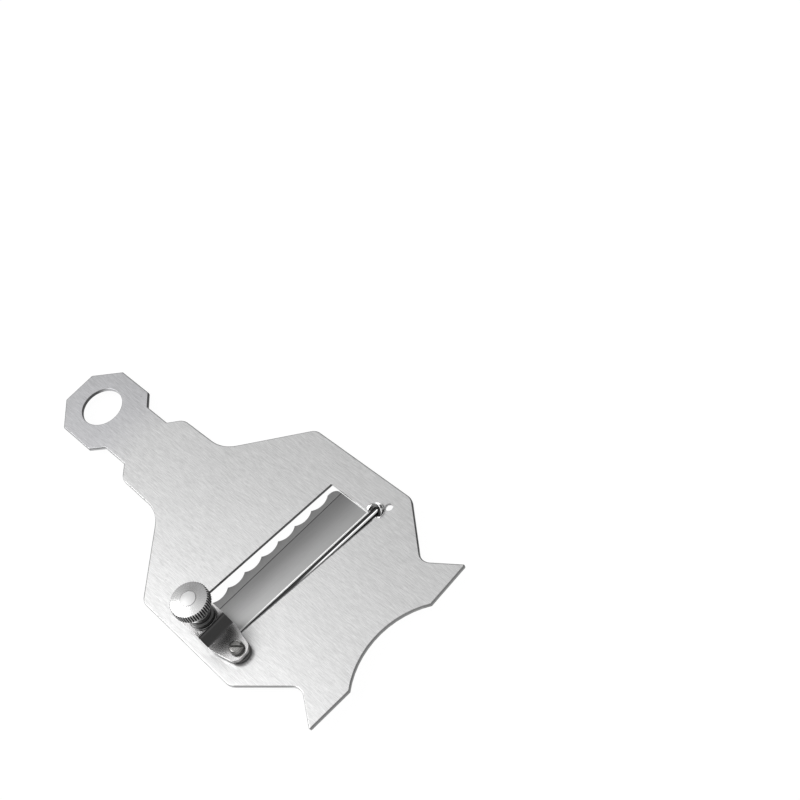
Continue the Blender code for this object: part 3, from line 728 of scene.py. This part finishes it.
# The collar's outline from the head down: the share of its height, and the radius in millimetres.
collar_outline = ((1.0, 4.20), (0.86, 4.20), (0.80, 4.30), (0.72, 4.72), (0.62, 4.98), (0.54, 5.00),
                  (0.45, 4.94), (0.36, 4.60), (0.30, 4.30), (0.27, 4.20), (lip_share, 4.20))
profile = [(0, spindle_high.z), (rivet_radius, spindle_high.z), (rivet_radius, collar_top)]
profile += [(radius * MM, collar_bottom + share * collar_height) for share, radius in collar_outline]
profile += [(lip_radius, collar_bottom + lip_share * collar_height), (lip_radius, collar_bottom),
            (thread_radius, collar_bottom)]
level = collar_bottom - thread_pitch
while level - thread_pitch > stem_shoulder:
    profile += [(thread_radius, level), (thread_radius - thread_depth, level - thread_pitch / 2)]
    level -= thread_pitch
profile += [(thread_radius, level), (thread_radius, stem_shoulder), (neck_radius, stem_shoulder),
            (neck_radius, groove_top), (groove_radius, groove_top), (groove_radius, groove_bottom),
            (neck_radius, groove_bottom), (neck_radius, spindle_low.z), (0, spindle_low.z)]
spindle = turned(profile, steps=96, closed=False)
break_corners(spindle, spindle_corner, radians(50))
bmesh.ops.translate(spindle, verts=spindle.verts, vec=axis_place)
made_piece("turned_spindle", spindle, chrome, "screw", ["spindle"])


# The knob's head: a turned disc with a straight knurl, plated. Its top is a very low cone, faced on
# the lathe. Painted shade darkens the knurl, almost to black between the teeth.
head_radius = 7.8 * MM
head_crown = 0.6 * MM
head_rim_top = head_high.z - head_crown
head_chamfer = 0.5 * MM
head_bore = rivet_radius + running_gap
rim_radius = head_radius - head_chamfer
tooth_count = 48
tooth_depth = 0.62 * MM
crest_share = 0.2
head_patch = (3 * MM, 3 * MM, 3 * MM)
face_ring_depth = 0.0003 * MM

# Radii in millimetres between which the painted shade in a groove of the knurl fades out.
groove_dark, groove_bright = 7.52, 7.79

faced = Steel("faced_head")
face_radius, face_rings = ringed(faced, 0.10, 3.0)
_, wide_rings = ringed(faced, 0.6)
face_haze = faced.noise(head_patch, 3.0)
# Painted shade on the knurled side, darkest in its grooves.
knurled = 1 - faced.facing[2].between(0.35, 0.65)
groove_shade = (1 - face_radius.between(groove_dark, groove_bright)) * knurled
face_tone = 0.66 + (face_rings - 0.5) * 0.06 + (wide_rings - 0.5) * 0.08
faced.look(face_tone * (1 - knurled) + (0.37 - groove_shade * 0.365) * knurled,
           0.22 + (face_rings - 0.5) * 0.08 + face_haze * 0.06 + groove_shade * 0.2)
faced.raise_by(face_rings * (1 - knurled), face_ring_depth)

head = turned([(head_bore, head_high.z), (rim_radius, head_rim_top),
               (head_radius, head_rim_top - head_chamfer), (head_radius, head_low.z + head_chamfer),
               (rim_radius, head_low.z), (head_bore, head_low.z)], steps=tooth_count * 4)
for vert in head.verts:
    flat = vert.co.to_2d()
    tooth = Vector((1, 0)).angle_signed(flat, 0) / (2 * pi) * tooth_count
    from_crest = abs(tooth - round(tooth)) * 2
    limit = head_radius - tooth_depth * max(0, from_crest - crest_share) / (1 - crest_share)
    if flat.length > rim_radius - 0.1 * head_chamfer and flat.length > limit:
        vert.co.x *= limit / flat.length
        vert.co.y *= limit / flat.length
keep_crisp(head, radians(20))
bmesh.ops.translate(head, verts=head.verts, vec=axis_place)
made_piece("knurled_head", head, faced, "screw", ["knob_head"])


# The thrust washer and the retaining clip at the spindle's lower end: a plain washer, and a spring
# steel clip left blued from its hardening. The photograph shows neither.
washer_radius = 2.3 * MM
washer_bore = neck_radius + running_gap
washer_corner = 0.08 * MM
clip_corner = 0.05 * MM
washer_ring_depth = 0.006 * MM
blueing_patch = (0.9 * MM, 0.9 * MM, 0.6 * MM)
blueing_depth = 0.004 * MM
blue_steel = (0.16, 0.17, 0.20, 1.0)
worn_steel = (0.30, 0.29, 0.29, 1.0)

plain = Steel("plain_washer")
_, washer_rings = ringed(plain, 0.15)
plain.look(0.50 + (washer_rings - 0.5) * 0.2, 0.28 + washer_rings * 0.12)
plain.raise_by(washer_rings, washer_ring_depth)

washer = turned([(washer_bore, washer_high.z), (washer_radius, washer_high.z),
                 (washer_radius, washer_low.z), (washer_bore, washer_low.z)], steps=64)
break_corners(washer, washer_corner)
bmesh.ops.translate(washer, verts=washer.verts, vec=axis_place)
made_piece("plain_washer", washer, plain, "lift", ["thrust_washer"])

blued = Steel("blued_clip")
blueing = blued.noise(blueing_patch, 4.0)
blued.set("Base Color", blued.mixed(blueing, blue_steel, worn_steel))
blued.set("Roughness", 0.30 + blueing * 0.16)
blued.raise_by(blueing, blueing_depth)

clip = copied("retaining_clip")
break_corners(clip, clip_corner)
made_piece("blued_clip", clip, blued, "screw", ["retaining_clip"])


# The table: white paper just under the slicer's lowest point. It keeps the slicer's shadow, and glows
# only where the camera or a mirrored ray meets it.
table_gap = 0.2 * MM
table_reach = 30.0

table_shape = bmesh.new()
bmesh.ops.create_grid(table_shape, x_segments=2, y_segments=2, size=table_reach)
bmesh.ops.translate(table_shape, verts=table_shape.verts, vec=(0, 0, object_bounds()[0][2] - table_gap))
table_mesh = bpy.data.meshes.new("table_top")
table_shape.to_mesh(table_mesh)
table_shape.free()
table_top = bpy.data.objects.new("table_top", table_mesh)
bpy.context.scene.collection.objects.link(table_top)

paper = Finish(bpy.data.materials.new("white_paper"))
paper_shader = paper.tree.nodes["Principled BSDF"]
paper_shader.inputs["Roughness"].default_value = 0.9
paper_shader.inputs["Base Color"].default_value = grey(0.9)
rays = paper.node("ShaderNodeLightPath")
seen = sum(Tone(paper, rays.outputs[kind])
           for kind in ("Is Camera Ray", "Is Glossy Ray", "Is Transmission Ray"))
glow = paper.node("ShaderNodeEmission", None, {"Color": grey(1.0), "Strength": 1.04})
spread = paper.node("ShaderNodeMixShader", None, {
    0: seen * 0.91, 1: paper_shader.outputs[0], 2: glow.outputs[0]})
paper.feed(paper.tree.nodes["Material Output"].inputs["Surface"], spread.outputs[0])
table_mesh.materials.append(paper.owner)


# The studio: a wide soft light to the back and left, and walls that fall off to the right and behind
# the camera. Where the camera looks past the table, the room is plain white.
card_direction = (0.1, -0.65, 0.75)
side_direction = (0.66, 0.74, 0.12)
strip_place = -0.34

world = bpy.data.worlds.new("studio")
bpy.context.scene.world = world
room = Finish(world)
direction = room.node("ShaderNodeTexCoord").outputs["Generated"]
towards_right, towards_back, towards_top = room.parts(direction)
upper_half = towards_top > 0
from_left = room.tone("ShaderNodeValToRGB", {"stops": (
    (0.0, 0.75), (0.42, 1.0), (0.50, 1.0), (0.56, 0.86), (0.60, 0.60), (0.68, 0.36), (1.0, 0.30))}, {
    "Fac": (towards_right + 1) * 0.5})
from_back = 0.60 + 0.40 * towards_back.between(0.10, 0.46)
from_above = room.tone("ShaderNodeValToRGB", {"stops": (
    (0.0, 0.40), (0.15, 0.42), (0.45, 0.46), (0.69, 0.60), (0.785, 1.0), (1.0, 1.0))}, {
    "Fac": towards_top})
dark_card = 1 - 0.5 * room.likeness(direction, card_direction).between(0.93, 0.975)
side_light = 1.7 * room.likeness(direction, side_direction).between(0.88, 0.94)
strip = 1 - abs(towards_back - strip_place).between(0.08, 0.20)
strip = strip * (1 - abs(towards_right).between(0.5, 0.8))
front_wall = (-towards_back).between(0.25, 0.65)
brightness = from_left * from_back * from_above * dark_card * 1.2 + side_light
brightness = brightness + (1.3 * strip + 0.40 * front_wall) * upper_half
looked_at = room.tone("ShaderNodeLightPath", None, None, "Is Camera Ray")
background = room.tree.nodes["Background"]
room.feed(background.inputs["Color"], grey(1.0))
room.feed(background.inputs["Strength"], brightness * (1 - looked_at) + looked_at)

lamp = bpy.data.lights.new("soft_box", "AREA")
lamp.shape = "RECTANGLE"
lamp.size = 0.7
lamp.size_y = 0.5
lamp.energy = 4.5
soft_box = bpy.data.objects.new("soft_box", lamp)
bpy.context.scene.collection.objects.link(soft_box)
lamp_place = Vector((-0.45, 0.55, 0.95))
lamp_turn = lamp_place.to_track_quat("Z", "Y").to_matrix().to_4x4()
soft_box.matrix_world = Matrix.Translation(lamp_place) @ lamp_turn


# The camera stands where the photograph was taken from. Its place, turn and lens were fitted to the
# plate's outline there.
camera_place = Vector((-0.07632, -0.379135, 0.499522))
to_right = Vector((0.68400, -0.67829, -0.26845))
to_top = Vector((0.68667, 0.47445, 0.55080))
backwards = to_right.cross(to_top)

camera_data = bpy.data.cameras.new("camera")
camera_data.sensor_width = 36.0
camera_data.lens = 70.74
camera_data.clip_start = 0.01
camera = bpy.data.objects.new("camera", camera_data)
bpy.context.scene.collection.objects.link(camera)
camera_turn = Matrix((to_right, to_top, backwards)).transposed().to_4x4()
camera.matrix_world = Matrix.Translation(camera_place) @ camera_turn
bpy.context.scene.camera = camera
bpy.context.scene.view_settings.view_transform = "Standard"
